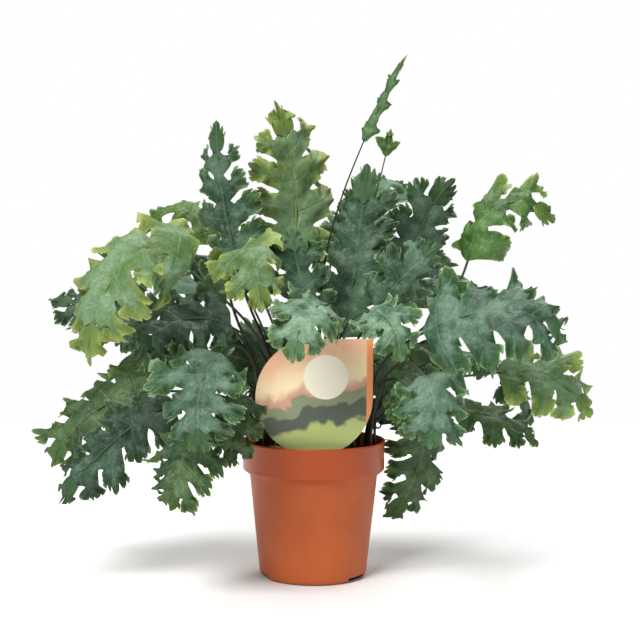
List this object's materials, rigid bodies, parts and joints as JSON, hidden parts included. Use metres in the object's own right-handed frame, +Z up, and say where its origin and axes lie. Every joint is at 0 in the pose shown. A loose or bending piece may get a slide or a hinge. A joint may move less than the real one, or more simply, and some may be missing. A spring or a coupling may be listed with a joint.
{
  "type": "potted fern",
  "caption": "Potted fern with ruffled, deeply lobed fronds on thin stalks and scaly creeping stems, in a tapered round nursery pot filled with soil, with a plain card label on a stake.",
  "frame": {"origin": "centre of the pot's base, on the surface that it stands on", "axes": "+Z up along the pot's axis; -Y towards the front, where the label card faces; +X to the right seen from the front"},
  "size_m": [0.4628, 0.3586, 0.4297],
  "materials": {
    "pot_plastic": "satin",
    "soil": "matte",
    "label_card": "satin",
    "rhizome": "matte",
    "leaf_blue": "matte",
    "leaf_pale": "matte",
    "leaf_green": "matte",
    "leaf_dark": "matte",
    "leaf_lime": "matte",
    "leaf_olive": "matte"
  },
  "bodies": {
    "root": {"pot": "pot_plastic", "soil": "soil", "label": "label_card", "rhizome_1": "rhizome", "rhizome_2": "rhizome", "rhizome_3": "rhizome", "frond_01": "leaf_lime", "frond_02": "leaf_lime", "frond_03": "leaf_blue", "frond_04": "leaf_lime", "frond_05": "leaf_blue", "frond_06": "leaf_blue", "frond_07": "leaf_green", "frond_08": "leaf_olive", "frond_09": "leaf_olive", "frond_10": "leaf_blue", "frond_11": "leaf_blue", "frond_12": "leaf_lime", "frond_13": "leaf_green", "frond_14": "leaf_green", "frond_15": "leaf_pale", "frond_16": "leaf_pale", "frond_17": "leaf_blue", "frond_18": "leaf_green", "frond_19": "leaf_green", "frond_20": "leaf_dark", "frond_21": "leaf_dark", "frond_22": "leaf_blue", "frond_23": "leaf_olive", "frond_24": "leaf_blue", "frond_25": "leaf_blue", "frond_26": "leaf_green", "frond_27": "leaf_green", "frond_28": "leaf_green", "frond_29": "leaf_blue", "frond_30": "leaf_blue", "frond_31": "leaf_blue", "frond_32": "leaf_green", "frond_33": "leaf_blue", "frond_34": "leaf_green", "frond_35": "leaf_blue", "frond_36": "leaf_blue", "frond_37": "leaf_blue", "frond_38": "leaf_dark", "frond_39": "leaf_green"}
  },
  "joints": []
}
